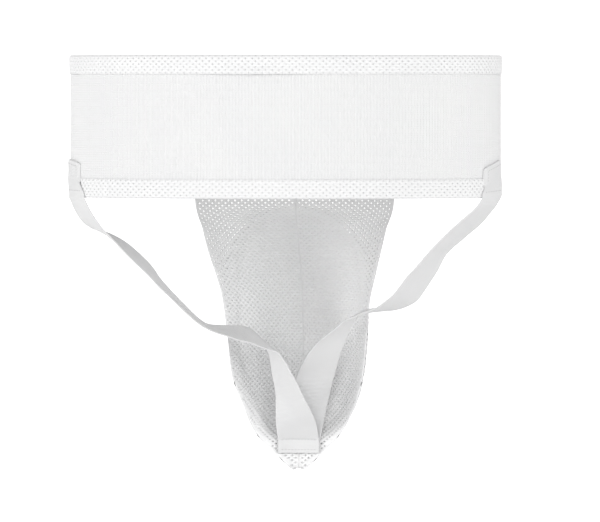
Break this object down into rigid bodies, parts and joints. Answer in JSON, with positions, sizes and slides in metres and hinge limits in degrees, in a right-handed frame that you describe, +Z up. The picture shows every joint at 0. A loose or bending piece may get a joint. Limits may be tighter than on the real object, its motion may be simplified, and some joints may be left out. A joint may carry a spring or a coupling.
{
  "type": "groin guard",
  "caption": "Groin guard for sport: wide elastic waistband with bound edges, mesh pouch with a hard cup in its pocket, and twisted elastic leg straps.",
  "frame": {"origin": "centre of the waistband's loop, halfway up the band", "axes": "+X to the wearer's right, +Y to the wearer's front, +Z up"},
  "size_m": [0.3058, 0.2398, 0.2959],
  "materials": {
    "knit_elastic": "ribbed white knitted elastic, matt",
    "mesh_tape": "white open mesh tape, matt",
    "pouch_mesh": "white open polyester mesh, matt",
    "strap_elastic": "white woven elastic, matt",
    "cup_plastic": "white moulded plastic, satin"
  },
  "bodies": {
    "root": {"waistband": "knit_elastic", "top_binding": "mesh_tape", "bottom_binding": "mesh_tape", "pouch_outer_left": "pouch_mesh", "pouch_outer_right": "pouch_mesh", "pouch_lining_left": "pouch_mesh", "pouch_lining_right": "pouch_mesh", "cup": "cup_plastic", "left_strap": "strap_elastic", "right_strap": "strap_elastic"}
  },
  "joints": []
}
